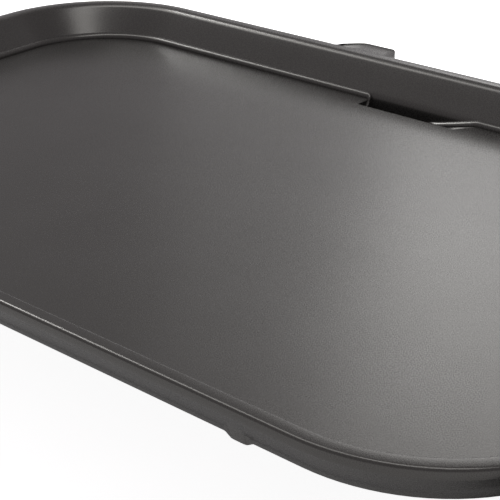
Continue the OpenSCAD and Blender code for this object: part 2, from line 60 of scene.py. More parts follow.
# ---- the plate's sizes, in metres ----
# A section's points are (inset, height): inset is measured in from the plate's outer edge,
# and height up from the lip's top. Names that end in IN are insets.
PLATE_LOW, PLATE_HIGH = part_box("cooking_plate")
LIP_PROUD = 0.9 * MM                    # how far the lip stands out of the CAD plate's sides
END_PROUD = 2.2 * MM                    # and of its two ends
TAB_OUT = 9.6 * MM
HALF_L = PLATE_HIGH.x + END_PROUD
HALF_W = (PLATE_HIGH.y - PLATE_LOW.y - TAB_OUT) / 2 + LIP_PROUD
PLATE_Y = PLATE_LOW.y + HALF_W - LIP_PROUD
RIM_Z = PLATE_HIGH.z
CORNER_R = 58 * MM + LIP_PROUD
CORNER_STEPS = 24
RECESS_D = 14.1 * MM
FLOOR_T = 4 * MM

# the lip
LIP_INNER_R = (0.9 * MM, 4.6 * MM)      # (front, back)
LIP_W = (4.9 * MM, 8.4 * MM)            # (front, back)
LIP_OUTER_R = 1.1 * MM
LIP_OUTER_STEPS = 5
LIP_INNER_STEPS = 8
LIP_FACE_H = 3.2 * MM
LIP_EASE = (0.1 * MM, 0.3 * MM)         # the small chamfer under the lip's upright face
LIP_STEP = 0.6 * MM
LIP_STEP_H = 0.2 * MM
LIP_FOOT = (0.3 * MM, 0.6 * MM)         # how far out and up of the skirt's top the step starts

# the skirt, which leans out as it goes up
SKIRT_D = 12.3 * MM
SKIRT_IN = 5.1 * MM
SKIRT_T = 2.4 * MM
SKIRT_R = 0.8 * MM
SKIRT_R_STEPS = 4
SKIRT_R_END = 197                       # degrees, where the bottom's round meets the skirt
SKIRT_CHAMFER = 0.6 * MM
SKIRT_TOP_IN = 1.3 * MM
SKIRT_TOP_Z = -4.2 * MM
SKIRT_SHARES = (0.27, 0.6)              # how far up the skirt its points lie
SKIRT_ROOT = (SKIRT_T + 2.2 * MM, -4.8 * MM)    # where its inside meets the lip's underside

# the wall and the ledge round the recess
LEDGE_D = 11.6 * MM
LEDGE_IN = 17.2 * MM
LEDGE_W = 2.3 * MM
LEDGE_R = 2.1 * MM
LEDGE_STEPS = 7
WALL_IN = LEDGE_IN - LEDGE_W
WALL_R_END = 37                         # degrees, where the lip's inner round meets the wall
WALL_SHARES = (0.35, 0.7, 0.94)         # how far down the wall its points lie
WALL_BACK = ((12.5 * MM, -14 * MM), (6.8 * MM, -6.2 * MM), (5.2 * MM, -4.6 * MM))
WALL_BACK_FOOT = 14.1 * MM
UNDER_EDGE = 3.4 * MM                   # how far past the ledge the underside's next point lies
FALL_STEPS = 5
FALL_LEAST = 0.1 * MM                   # keeps the points below the ledge's level apart

# the drain slot in the back of the floor, and the ramp at its right
SLOT_X0 = -11.7 * MM
SLOT_X1 = 34.9 * MM
SLOT_SLANT = 5.5 * MM
SLOT_FAR = SLOT_X1 + SLOT_SLANT
SLOT_IN = LEDGE_IN + 7.9 * MM
SLOT_BACK_R = 5 * MM
SLANT_END_X = 70 * MM
MIDDLE_IN = SLOT_IN + 4 * MM            # where the one flat face in the floor's middle begins
RAMP_X0 = 18 * MM
RAMP_X1 = 41 * MM
RAMP_DROP = 6 * MM
LEDGE_END_X = SLOT_X0 + 0.8 * MM
LEDGE_END_R = 2.5 * MM
NARROW = 0.02 * MM                      # the width of an upright step along the back

# the tab behind the lip
TAB_X = -26.2 * MM
TAB_BASE = (18.4 * MM, 16.4 * MM)       # (left, right) of TAB_X
TAB_TIP = (7.2 * MM, 10.3 * MM)         # (left, right) of TAB_X
TAB_ROUND = 2.4 * MM
TAB_STEPS = 56
TAB_TOP = 0.1 * MM
TAB_T = 2.8 * MM
TAB_ROOT = 0.4 * MM
TAB_CHAMFER = (0.5 * MM, 0.6 * MM)      # under the tab's edge
TAB_EDGE_R = 0.35 * MM                  # the round on top of its edge, and that round's middle
TAB_EDGE_MID = 0.1 * MM
TAB_VALLEY = 0.9 * MM                   # how deep the valley between tab and lip is
TAB_VALLEY_OUT = 0.7 * MM
TAB_BRINK = (2.6 * MM, 1.6 * MM)        # where its slope starts: out of the lip, and in of the edge
TAB_BRINK_SHARE = 0.55
TAB_SHOULDER = (0.3 * MM, -0.7 * MM)    # on the lip's side of the valley
TAB_WHOLE = 2.6 * MM                    # the reach at which the section is all tab

# the lugs under the front skirt
LUG_X = 111 * MM
LUG_HALF = 4.9 * MM
LUG_FLAT = 2.2 * MM
LUG_DROP = 1.2 * MM
LUG_PROUD = 0.18 * MM
LUG_FADE = (0.6 * MM, 0.5 * MM)         # where the proud part ends past the flat, and its fade
LUG_EASE = 0.02 * MM                    # keeps the point at LUG_TOP just out of the skirt's line
LUG_TOE = 0.35 * MM                     # how far past the flat its close sections go on
LUG_MARGIN = 3 * MM
LUG_TOP = (0.22, 0.25)                  # where a lug ends on the skirt: shares of its lean and height

# places with no feature, which only keep the plate's faces from getting long
PLAIN_BACK = (55 * MM, 90 * MM, 110 * MM, -60 * MM, -80 * MM, -105 * MM)
PLAIN_FRONT = 80 * MM

# ---- the photograph's camera: its place is measured from the plate's middle, at the rim ----
CAMERA_PLACE = Vector((0.2885, -0.3290, 0.1734))
CAMERA_YAW = math.radians(39.84)
CAMERA_PITCH = math.radians(26.05)
CAMERA_LENS = 95.2
CAMERA_SENSOR = 36
CAMERA_NEAREST = 0.01


# ---- small helpers ----
def smooth(t):
    """An S curve from 0 to 1."""
    t = min(max(t, 0.0), 1.0)
    return t * t * (3 - 2 * t)


def mix(a, b, t):
    """The value a share t of the way from a to b."""
    return a + (b - a) * t


def even(a, b, n):
    """n + 1 evenly spaced values from a to b."""
    return [mix(a, b, i / n) for i in range(n + 1)]


def arc(cx, cy, r, a0, a1, n):
    """Points on a circle from angle a0 to a1 in degrees, both ends included."""
    turn = [math.radians(a0 + (a1 - a0) * i / n) for i in range(n + 1)]
    return [(cx + r * math.cos(a), cy + r * math.sin(a)) for a in turn]


def ring_faces(count, steps):
    """Faces that join count rings of steps points each, and close the first and last ring."""
    faces = []
    for r in range(count - 1):
        here, there = r * steps, (r + 1) * steps
        for i in range(steps):
            j = (i + 1) % steps
            faces.append((here + i, here + j, there + j, there + i))
    faces.append(tuple(range(steps)))
    faces.append(tuple((count - 1) * steps + i for i in range(steps)))
    return faces


def shade(mesh, angle):
    """Smooth shading, but for edges sharper than angle, in degrees."""
    mesh.polygons.foreach_set("use_smooth", [True] * len(mesh.polygons))
    mesh.set_sharp_from_angle(angle=math.radians(angle))


def add_piece(name, mesh, body):
    """Puts a mesh in the scene as a piece that rides on a body."""
    obj = bpy.data.objects.new(name, mesh)
    bpy.context.scene.collection.objects.link(obj)
    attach(obj, body)
    return obj


def mesh_object(name, verts, faces, material, body, angle):
    """A smooth-shaded mesh piece that rides on a body."""
    mesh = bpy.data.meshes.new(name)
    mesh.from_pydata([tuple(v) for v in verts], [], faces)
    bm = bmesh.new()
    bm.from_mesh(mesh)
    bmesh.ops.remove_doubles(bm, verts=bm.verts, dist=SAME)
    bmesh.ops.recalc_face_normals(bm, faces=bm.faces)
    bm.to_mesh(mesh)
    bm.free()
    shade(mesh, angle)
    mesh.materials.append(material)
    return add_piece(name, mesh, body)


# ---- materials ----
NOISE_LOW, NOISE_HIGH = 0.3, 0.7        # most of a noise texture's values lie between these


def new_material(name, color, metallic, roughness):
    """A Principled material with its even values on the shader's own sockets."""
    material = bpy.data.materials.new(name)
    material.use_nodes = True
    shader = material.node_tree.nodes["Principled BSDF"]
    shader.inputs["Base Color"].default_value = (*color, 1)
    shader.inputs["Metallic"].default_value = metallic
    shader.inputs["Roughness"].default_value = roughness
    return material, material.node_tree, shader


def noise(tree, scale, detail=3.0, stretch=None):
    """Noise in object space, where one unit is a metre."""
    coord = tree.nodes.new("ShaderNodeTexCoord")
    node = tree.nodes.new("ShaderNodeTexNoise")
    node.inputs["Scale"].default_value = scale
    node.inputs["Detail"].default_value = detail
    source = coord.outputs["Object"]
    if stretch:
        mapping = tree.nodes.new("ShaderNodeMapping")
        mapping.inputs["Scale"].default_value = stretch
        tree.links.new(source, mapping.inputs["Vector"])
        source = mapping.outputs["Vector"]
    tree.links.new(source, node.inputs["Vector"])
    return node.outputs["Fac"]


def spread(tree, value, low, high, start=NOISE_LOW, end=NOISE_HIGH):
    """Maps a value between start and end to the range from low to high."""
    node = tree.nodes.new("ShaderNodeMapRange")
    node.inputs["From Min"].default_value = start
    node.inputs["From Max"].default_value = end
    node.inputs["To Min"].default_value = low
    node.inputs["To Max"].default_value = high
    tree.links.new(value, node.inputs["Value"])
    return node.outputs["Result"]


def camera_split(tree, others, seen):
    """One value for what the camera sees directly, and another for light and reflections."""
    path = tree.nodes.new("ShaderNodeLightPath")
    return spread(tree, path.outputs["Is Camera Ray"], others, seen, 0.0, 1.0)


def vary_color(tree, shader, value, dark, light):
    """Colours the shader from dark to light by a noise value."""
    ramp = tree.nodes.new("ShaderNodeValToRGB")
    ramp.color_ramp.elements[0].color = (*dark, 1)
    ramp.color_ramp.elements[0].position = NOISE_LOW
    ramp.color_ramp.elements[1].color = (*light, 1)
    ramp.color_ramp.elements[1].position = NOISE_HIGH
    tree.links.new(value, ramp.inputs["Fac"])
    tree.links.new(ramp.outputs["Color"], shader.inputs["Base Color"])


def add_bump(tree, shader, value, distance):
    """Bump of a height in metres."""
    node = tree.nodes.new("ShaderNodeBump")
    node.inputs["Distance"].default_value = distance
    node.inputs["Strength"].default_value = 1.0
    tree.links.new(value, node.inputs["Height"])
    tree.links.new(node.outputs["Normal"], shader.inputs["Normal"])


def grained(name, dark, light, metallic, rough, grain, bump, blotch=40, stretch=None):
    """A finish with a fine grain, uneven roughness and a slow change of tone.

    rough is the (least, most) roughness, grain and blotch are noise scales for each metre,
    and bump is the grain's height in metres.
    """
    material, tree, shader = new_material(name, light, metallic, rough[0])
    fine = noise(tree, grain, detail=2.0, stretch=stretch)
    slow = noise(tree, blotch, detail=4.0)
    vary_color(tree, shader, slow, dark, light)
    tree.links.new(spread(tree, fine, rough[0], rough[1]), shader.inputs["Roughness"])
    add_bump(tree, shader, fine, bump)
    return material


def clear_amber():
    """The lens's and lamp's tinted clear plastic."""
    material, tree, shader = new_material("clear_amber", (0.95, 0.30, 0.04), 0.0, 0.12)
    shader.inputs["Transmission Weight"].default_value = 0.65
    shader.inputs["IOR"].default_value = 1.49
    vary_color(tree, shader, noise(tree, scale=300), (0.85, 0.22, 0.02), (1.0, 0.36, 0.06))
    return material


# name, darkest colour, lightest colour, metallic, roughness, grain, bump, blotch, stretch
COATING = grained("non_stick_coating", (0.073, 0.0707, 0.0665), (0.079, 0.0767, 0.0725),
                  0.68, (0.25, 0.30), 2600, 0.000012)
ENAMEL = grained("black_enamel", (0.030, 0.030, 0.029), (0.044, 0.044, 0.043),
                 0.0, (0.28, 0.42), 900, 0.00003)
PLASTIC = grained("black_phenolic", (0.018, 0.018, 0.019), (0.028, 0.028, 0.029),
                  0.0, (0.42, 0.55), 1800, 0.00004)
GRIP = grained("soft_grip", (0.024, 0.024, 0.025), (0.036, 0.036, 0.037),
               0.0, (0.55, 0.68), 2400, 0.00006)
KNOB = grained("satin_knob", (0.022, 0.022, 0.023), (0.030, 0.030, 0.031),
               0.0, (0.26, 0.34), 1500, 0.00002)
STEEL = grained("zinc_steel", (0.50, 0.51, 0.52), (0.62, 0.62, 0.62),
                1.0, (0.24, 0.40), 1400, 0.00002)
SHEET = grained("aluminised_sheet", (0.33, 0.33, 0.325), (0.38, 0.38, 0.375),
                1.0, (0.34, 0.44), 1500, 0.000015, 14, (1, 0.05, 1))
SHEATH = grained("element_sheath", (0.075, 0.062, 0.055), (0.17, 0.14, 0.12),
                 0.9, (0.42, 0.6), 1200, 0.00003, 90)
BRASS = grained("brass", (0.62, 0.44, 0.17), (0.78, 0.58, 0.26),
                1.0, (0.25, 0.38), 1600, 0.00002)
CERAMIC = grained("white_ceramic", (0.72, 0.69, 0.62), (0.82, 0.80, 0.74),
                  0.0, (0.45, 0.62), 2200, 0.00004)
RUBBER = grained("black_silicone", (0.014, 0.014, 0.014), (0.022, 0.022, 0.022),
                 0.0, (0.66, 0.82), 1700, 0.00005)
SLEEVE = grained("glass_sleeve", (0.42, 0.05, 0.03), (0.60, 0.09, 0.06),
                 0.0, (0.6, 0.8), 2500, 0.0001)
PRINT = grained("white_print", (0.66, 0.66, 0.65), (0.74, 0.74, 0.73),
                0.0, (0.5, 0.6), 2000, 0.00001)
AMBER = clear_amber()


# ---- the cooking plate: one section carried round the rounded rectangle ----
def ledge_is_cut(x):
    """Whether the slot cuts the ledge away at a place along the back."""
    return x is not None and LEDGE_END_X < x < RAMP_X0


def ledge_fall(x):
    """How far the ledge drops: a round end left of the slot, and a ramp on its right."""
    if x is None or x <= LEDGE_END_X - LEDGE_END_R or x >= RAMP_X1:
        return 0.0
    if x <= LEDGE_END_X:
        run = x - (LEDGE_END_X - LEDGE_END_R)
        return LEDGE_END_R - math.sqrt(max(LEDGE_END_R ** 2 - run ** 2, 0.0))
    return RAMP_DROP * min((RAMP_X1 - x) / (RAMP_X1 - RAMP_X0), 1.0)


def tab_reach(x):
    """How far the tab stands out behind the rim: a flared S on each side of a flat tip."""
    if x is None:
        return 0.0
    side = 1 if x > TAB_X else 0
    away = abs(x - TAB_X)
    base, flat = TAB_BASE[side], TAB_TIP[side] - TAB_ROUND
    return TAB_OUT * smooth((base - away) / (base - flat))


def lug_reach(x):
    """(drop, proud) of a lug under the front skirt."""
    if x is None:
        return 0.0, 0.0
    away = abs(abs(x) - LUG_X)
    if away >= LUG_HALF:
        return 0.0, 0.0
    drop = LUG_DROP * smooth((LUG_HALF - away) / (LUG_HALF - LUG_FLAT))
    proud = LUG_PROUD * smooth((LUG_FLAT + LUG_FADE[0] - away) / LUG_FADE[1])
    return drop, proud


def skirt_rows(drop, proud):
    """The skirt, from its bottom up the outside; a lug drops and swells its lower part."""
    low = -SKIRT_D - drop
    bottom = SKIRT_IN - proud
    inside = SKIRT_IN + SKIRT_T
    start_z = -SKIRT_D + SKIRT_R
    rows = [(inside, low + SKIRT_CHAMFER), (inside - SKIRT_CHAMFER, low)]
    rows += arc(bottom + SKIRT_R, low + SKIRT_R, SKIRT_R, 270, SKIRT_R_END, SKIRT_R_STEPS)
    rows += [(mix(bottom, SKIRT_TOP_IN, LUG_TOP[0]) - LUG_EASE, mix(start_z, SKIRT_TOP_Z, LUG_TOP[1]))]
    rows += [(mix(SKIRT_IN, SKIRT_TOP_IN, t), mix(start_z, SKIRT_TOP_Z, t)) for t in SKIRT_SHARES]
    return rows + [(SKIRT_TOP_IN, SKIRT_TOP_Z)]


def lip_rows():
    """The lip's outside where there is no tab: a step, an upright face and a rounded edge."""
    rows = [(SKIRT_TOP_IN - LIP_FOOT[0], SKIRT_TOP_Z + LIP_FOOT[1])]
    rows += [(LIP_STEP, -LIP_FACE_H - LIP_STEP_H)]
    rows += [(LIP_EASE[0], -LIP_FACE_H), (0, -LIP_FACE_H + LIP_EASE[1])]
    return rows + arc(LIP_OUTER_R, -LIP_OUTER_R, LIP_OUTER_R, 180, 90, LIP_OUTER_STEPS)


def tab_rows(reach):
    """The same points at the tab: its underside, its edge, its top, the valley and the lip."""
    under = -TAB_TOP - TAB_T
    brink = min(-TAB_BRINK[0], TAB_BRINK[1] - reach)
    rows = [(-TAB_ROOT, under), (TAB_CHAMFER[0] - reach, under), (-reach, under + TAB_CHAMFER[1])]
    rows += [(-reach, -TAB_TOP - TAB_EDGE_R), (TAB_EDGE_MID - reach, -TAB_TOP - TAB_EDGE_MID)]
    rows += [(TAB_EDGE_R - reach, -TAB_TOP)]
    rows += [(brink, mix(-TAB_TOP, -TAB_VALLEY, TAB_BRINK_SHARE)), (-TAB_VALLEY_OUT, -TAB_VALLEY)]
    return rows + [TAB_SHOULDER, (LIP_OUTER_R, 0)]


def outer_rows(reach, drop, proud):
    """Section from the skirt's bottom, up the outside, to the lip's top."""
    t = smooth(reach / TAB_WHOLE)
    pairs = zip(lip_rows(), tab_rows(reach))
    return skirt_rows(drop, proud) + [(mix(a[0], b[0], t), mix(a[1], b[1], t)) for a, b in pairs]


def wall_below(lean, depth):
    """The wall's point at a depth below the ledge's level, where it turns upright."""
    slope = math.atan2(1, lean)
    upright = math.acos(max(math.cos(slope) - depth / SLOT_BACK_R, 0.0))
    return WALL_IN + SLOT_BACK_R * (math.sin(upright) - math.sin(slope)), -LEDGE_D - depth


def inner_rows(x, back):
    """Section from the lip's top, down the inside wall, over the ledge to the floor."""
    round_r = mix(*LIP_INNER_R, back)
    rows = arc(mix(*LIP_W, back) - round_r, -round_r, round_r, 90, WALL_R_END, LIP_INNER_STEPS)
    start = rows[-1]
    fall = max(ledge_fall(x), FALL_LEAST)
    lean = (WALL_IN - start[0]) / (LEDGE_D + start[1])
    rows += [(mix(start[0], WALL_IN, t), mix(start[1], -LEDGE_D, t)) for t in WALL_SHARES]
    rows += [(WALL_IN, -LEDGE_D)]
    rows += [wall_below(lean, fall * i / FALL_STEPS) for i in range(1, FALL_STEPS + 1)]
    if ledge_is_cut(x):
        deep = RECESS_D + FLOOR_T - LEDGE_D
        steps = LEDGE_STEPS + 2         # as many points as the ledge has
        rows += [wall_below(lean, mix(fall, deep, i / steps)) for i in range(1, steps + 1)]
    else:
        top = rows[-1][1]
        inset = max(WALL_IN + LEDGE_W, rows[-1][0] + LEDGE_R)
        rows += [(inset - LEDGE_R, top)]
        rows += arc(inset - LEDGE_R, top - LEDGE_R, LEDGE_R, 90, 0, LEDGE_STEPS)[1:]
        rows += [(inset, min(-RECESS_D, top - LEDGE_R - FALL_LEAST))]
    return rows


def floor_rows():
    """Section over the floor's edge: past the slot, to the middle, and to the same point below."""
    return [(SLOT_IN - THIN, -RECESS_D), (MIDDLE_IN, -RECESS_D), (MIDDLE_IN, -RECESS_D - FLOOR_T)]


def under_rows():
    """Section under the floor, up behind the wall and out to the skirt's root."""
    deep = -RECESS_D - FLOOR_T
    rows = [(SLOT_IN, deep), (WALL_IN + LEDGE_W + UNDER_EDGE, deep), (WALL_BACK_FOOT, deep)]
    return rows + [*WALL_BACK, SKIRT_ROOT]


def slant_shift(x, inset):
    """How far a back column leans left between the ledge and the slot's near edge."""
    if x is None or x <= RAMP_X0 or x >= SLANT_END_X:
        return 0.0
    if x <= SLOT_FAR:
        share = (x - RAMP_X0) / (SLOT_FAR - RAMP_X0)
    else:
        share = (SLANT_END_X - x) / (SLANT_END_X - SLOT_FAR)
    lean = min(max((inset - LEDGE_IN) / (SLOT_IN - LEDGE_IN), 0.0), 1.0)
    return -SLOT_SLANT * share * lean


def back_places():
    """X of each section along the back, from right to left, close together at features."""
    tab = [TAB_X + mix(-TAB_BASE[0], TAB_BASE[1], i / TAB_STEPS) for i in range(TAB_STEPS + 1)]
    turns = [math.radians(a) for a in range(0, 91, 10)]
    ledge_end = [LEDGE_END_X - LEDGE_END_R * (1 - math.sin(a)) for a in turns]
    slot = [LEDGE_END_X + NARROW, SLOT_X0, RAMP_X1, RAMP_X1 + 1 * MM, SLANT_END_X]
    slot += even(0, RAMP_X0 - NARROW, 3) + even(RAMP_X0, SLOT_FAR, 6)
    places = {round(v, 7) for v in [*tab, *ledge_end, *slot, *PLAIN_BACK]}
    return sorted(places, reverse=True)


def front_places():
    """X of each section along the front, from left to right, close together at the lugs."""
    side = [-LUG_HALF - LUG_MARGIN] + even(-LUG_HALF, -LUG_FLAT - LUG_TOE - THIN, 10)
    side += even(-LUG_FLAT - LUG_TOE, LUG_FLAT + LUG_TOE, 6)
    side += even(LUG_FLAT + LUG_TOE + THIN, LUG_HALF, 10) + [LUG_HALF + LUG_MARGIN]
    places = [lug + v for lug in (-LUG_X, LUG_X) for v in side]
    return sorted(places + even(-PLAIN_FRONT, PLAIN_FRONT, 4))


def plate_columns():
    """Every section's place: a point on the outer edge, the way in, and X on the back or front."""
    straight_x = HALF_L - CORNER_R
    straight_y = HALF_W - CORNER_R
    columns = []

    def corner(side_x, side_y, start):
        middle = Vector((side_x * straight_x, side_y * straight_y, 0))
        for i in range(CORNER_STEPS + 1):
            a = math.radians(start + 90 * i / CORNER_STEPS)
            out = Vector((math.cos(a), math.sin(a), 0))
            columns.append((middle + out * CORNER_R, -out, None, None))

    for x in front_places():
        columns.append((Vector((x, -HALF_W, 0)), Vector((0, 1, 0)), None, x))
    corner(1, -1, -90)
    columns.append((Vector((HALF_L, 0, 0)), Vector((-1, 0, 0)), None, None))
    corner(1, 1, 0)
    for x in back_places():
        columns.append((Vector((x, HALF_W, 0)), Vector((0, -1, 0)), x, None))
    corner(-1, 1, 90)
    columns.append((Vector((-HALF_L, 0, 0)), Vector((1, 0, 0)), None, None))
    corner(-1, -1, 180)
    return columns


def plate_faces(columns, row_count, near):
    """Faces between neighbouring sections, open at the slot, with its walls and the floor's middle.

    near is the row on the slot's near side: the row before it is on the slot's far side.
    """
    far_side = near - 1
    ring_top, ring_under, near_under, far_under = range(near + 1, near + 5)
    count = len(columns)
    faces = []

    def quad(c, d, a, b):
        faces.append((c * row_count + a, d * row_count + a, d * row_count + b, c * row_count + b))

    for c in range(count):
        d = (c + 1) % count
        left, right = columns[d][2], columns[c][2]
        in_slot = left is not None and right is not None
        in_slot = in_slot and left >= SLOT_X0 - SAME and right <= SLOT_FAR + SAME
        for r in range(row_count):
            if r == ring_top or (in_slot and r in (far_side, near_under)):
                continue
            quad(c, d, r, (r + 1) % row_count)
        if in_slot:
            quad(c, d, far_side, far_under)
            quad(c, d, near, near_under)
    for c, (_, _, x, _) in enumerate(columns):
        if x is not None and min(abs(x - SLOT_X0), abs(x - SLOT_FAR)) < SAME:
            faces.append(tuple(c * row_count + r for r in (far_side, near, near_under, far_under)))
    for ring in (ring_top, ring_under):
        faces.append(tuple(c * row_count + ring for c in range(count)))
    return faces


def build_plate():
    """The cast plate as one closed mesh, with the drain slot cut through its floor."""
    base = Vector((0, PLATE_Y, RIM_Z))
    columns = plate_columns()
    verts = []
    for point, way, back_x, front_x in columns:
        rows = outer_rows(tab_reach(back_x), *lug_reach(front_x))
        rows += inner_rows(back_x, (1 - way.y) / 2)
        near = len(rows)
        rows += floor_rows() + under_rows()
        for inset, z in rows:
            spot = point + way * inset + Vector((slant_shift(back_x, inset), 0, z))
            verts.append(base + spot)
    faces = plate_faces(columns, len(rows), near)
    plate = mesh_object("cast_plate", verts, faces, COATING, "plate", angle=28)
    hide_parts("cooking_plate")


build_plate()

# ---- the base: each CAD node's own finish, and the round on its edges in millimetres ----
BODY_NODES = frame["record"]["behaviour"]["bodies"]
BODY_OF = {node: body for body, nodes in BODY_NODES.items() for node in nodes}
FINISH = {
    "plate_pads": (RUBBER, 0.4), "heater_tub": (ENAMEL, 0.5), "reflector_pan": (SHEET, 0),
    "heating_element": (SHEATH, 0), "element_clips": (SHEET, 0.2), "element_terminals": (CERAMIC, 0.3),
    "thermal_fuse": (CERAMIC, 0.5), "sensor_probe": (BRASS, 0.4),
    "left_end_support": (PLASTIC, 1.2), "right_end_support": (PLASTIC, 1.2),
    "rubber_feet": (RUBBER, 0.8), "box_screws": (STEEL, 0.3), "control_box": (PLASTIC, 1.0),
    "control_box_cover": (PLASTIC, 0.6), "thermostat_body": (CERAMIC, 0.6), "thermostat_nut": (STEEL, 0.3),
    "thermostat_shaft": (STEEL, 0.3), "indicator_lens": (AMBER, 0.5), "neon_lamp": (AMBER, 0.4),
    "terminal_block": (CERAMIC, 0.5), "inlet_socket": (PLASTIC, 0.5), "inlet_pins": (BRASS, 0.4),
    "inner_wires": (SLEEVE, 0), "drip_chute": (ENAMEL, 0.3), "tray_rails": (SHEET, 0.3),
    "drip_tray": (SHEET, 0.45),
}
WELD = 2e-6             # CAD points closer than this are one point
FLAT_ANGLE = 1          # degrees: faces that meet at less are one face
ROUNDED_ANGLE = 38      # degrees: edges sharper than this are rounded
SHARP_ANGLE = 42        # degrees: edges sharper than this keep a crisp shading


def stand_for(piece, node):
    """Hides a CAD node, for a piece that stands in its place."""
    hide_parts(node)


def softened(node, material, width):
    """A copy of a CAD node with its sharp edges rounded, standing for it."""
    mesh = frame["nodes"][node].data.copy()
    mesh.name = node + "_soft"
    bm = bmesh.new()
    bm.from_mesh(mesh)
    bmesh.ops.remove_doubles(bm, verts=bm.verts, dist=WELD)
    flat = math.radians(FLAT_ANGLE)
    bmesh.ops.dissolve_limit(bm, angle_limit=flat, verts=bm.verts, edges=bm.edges)
    limit = math.radians(ROUNDED_ANGLE)
    sharp = [e for e in bm.edges if len(e.link_faces) == 2 and e.calc_face_angle(0) > limit]
    bmesh.ops.bevel(bm, geom=sharp, offset=width, offset_type="OFFSET", segments=3, profile=0.5,
                    affect="EDGES", clamp_overlap=True)
    bmesh.ops.remove_doubles(bm, verts=bm.verts, dist=WELD)
    bm.to_mesh(mesh)
    bm.free()
    shade(mesh, SHARP_ANGLE)
    mesh.materials.clear()
    mesh.materials.append(material)
    obj = add_piece(node + "_soft", mesh, BODY_OF[node])
    weighted = obj.modifiers.new("even_shading", "WEIGHTED_NORMAL")
    weighted.keep_sharp = True
    stand_for(obj, node)


def build_spring():
    """The sensor's coil spring: a steel copy of its CAD node that stands in its place."""
    node = "sensor_spring"
    mesh = frame["nodes"][node].data.copy()
    mesh.materials.clear()
    mesh.materials.append(STEEL)
    obj = add_piece("wound_spring", mesh, BODY_OF[node])
    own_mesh(obj)
    stand_for(obj, node)


def build_grip(side):
    """A bar grip with round ends and a band of fine rings where the fingers hold it."""
    node = side + "_handle_grip"
    low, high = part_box(node)
    radius = (high.z - low.z) / 2
    half = (high.y - low.y) / 2
    end_r, ring_depth, band = 5 * MM, 0.45 * MM, 62 * MM
    rings, ring_steps, steps = 16, 6, 56
    end = [(-half + end_r - x, radius - end_r + y) for x, y in arc(0, 0, end_r, 0, 90, 9)]
    profile = list(end)
    for i in range(rings * ring_steps + 1):
        wave = 0.5 - 0.5 * math.cos(2 * math.pi * i / ring_steps)
        place = mix(-band / 2, band / 2, i / (rings * ring_steps))
        profile.append((place, radius - ring_depth * wave))
    profile += [(-along, r) for along, r in reversed(end)]
    centre = (low + high) / 2
    way = Vector((0, 1, 0))
    side_way = way.orthogonal().normalized()
    other = way.cross(side_way)
    verts = []
    for along, r in profile:
        for i in range(steps):
            a = 2 * math.pi * i / steps
            verts.append(centre + way * along + (side_way * math.cos(a) + other * math.sin(a)) * r)
    faces = ring_faces(len(profile), steps)
    grip = mesh_object(node + "_moulded", verts, faces, GRIP, BODY_OF[node], angle=50)
    stand_for(grip, node)


def islands(node):
    """The low and high corners of each separate solid in a CAD node."""
    bm = bmesh.new()
    bm.from_mesh(frame["nodes"][node].data)
    bmesh.ops.remove_doubles(bm, verts=bm.verts, dist=WELD)
    left, boxes = set(bm.verts), []
    while left:
        stack, seen = [left.pop()], []
        while stack:
            vert = stack.pop()
            seen.append(vert.co.copy())
            for edge in vert.link_edges:
                other = edge.other_vert(vert)
                if other in left:
                    left.remove(other)
                    stack.append(other)
        boxes.append(tuple(Vector(pick(c[i] for c in seen) for i in range(3)) for pick in (min, max)))
    bm.free()
    return sorted(boxes, key=lambda box: tuple(box[0]))


def cross_head(name, box, height, shank_r, body):
    """A pan-head screw, head down, with a cross recess; a polar grid gives the recess its walls."""
    low, high = box
    centre = ((low.x + high.x) / 2, (low.y + high.y) / 2, low.z)
    radius = (high.x - low.x) / 2
    rings, steps = 14, 64
    reach, arm, depth = 0.62 * radius, 0.17 * radius, 0.42 * height
    arm_wall, end_wall, dome = 0.06 * radius, 0.08 * radius, 0.35 * height
    turns = [2 * math.pi * i / steps for i in range(steps)]
    verts = []
    for ring in range(1, rings + 1):
        r = radius * ring / rings
        for a in turns:
            x, y = r * math.cos(a), r * math.sin(a)
            far = math.hypot(x, y)
            across = min(abs(x), abs(y))
            inside = smooth((arm - across) / arm_wall) * smooth((reach - far) / end_wall)
            up = dome * (far / radius) ** 2 + depth * inside
            verts.append(Vector((centre[0] + x, centre[1] + y, centre[2] + up)))
    back_z = centre[2] + height
    for r, z in ((radius, back_z), (shank_r, back_z), (shank_r, high.z)):
        for a in turns:
            verts.append(Vector((centre[0] + r * math.cos(a), centre[1] + r * math.sin(a), z)))
    return mesh_object(name, verts, ring_faces(rings + 3, steps), STEEL, body, angle=40)


def build_screws(node, head_h, shank_r):
    """The node's screws, made whole again with cross recesses in their heads."""
    for i, box in enumerate(islands(node)):
        stand_for(cross_head(f"{node}_{i + 1}", box, head_h, shank_r, BODY_OF[node]), node)


def knob_rows(skirt_r, tall):
    """(height, radius, share of the flutes' depth) up the knob and in over its top."""
    under_r, grip_r = 0.72 * skirt_r, 0.76 * skirt_r
    chamfer = 0.6 * MM
    crown_r, crown_in, crown_z = 2.2 * MM, grip_r - 2.7 * MM, tall - 2.6 * MM
    top_z, dish = tall - 0.4 * MM, 0.5 * MM
    rows = [(0.0, under_r, 0), (0.0, skirt_r - chamfer, 0), (chamfer, skirt_r, 0)]
    rows += [(2.2 * MM, skirt_r, 0), (2.9 * MM, skirt_r - 0.7 * MM, 0)]
    rows += [(3.3 * MM, grip_r + 1.2 * MM, 0), (3.9 * MM, grip_r + 0.25 * MM, 0.4)]
    rows += [(4.8 * MM, grip_r, 1), (crown_z, grip_r - 0.5 * MM, 1)]
    for a in (math.radians(d) for d in (20, 40, 60, 75, 90)):
        rows.append((crown_z + crown_r * math.sin(a), crown_in + crown_r * math.cos(a), math.cos(a)))
    rows += [(top_z - dish * k, crown_in * (1 - k), 0) for k in (0.3, 0.6, 0.85)]
    return rows


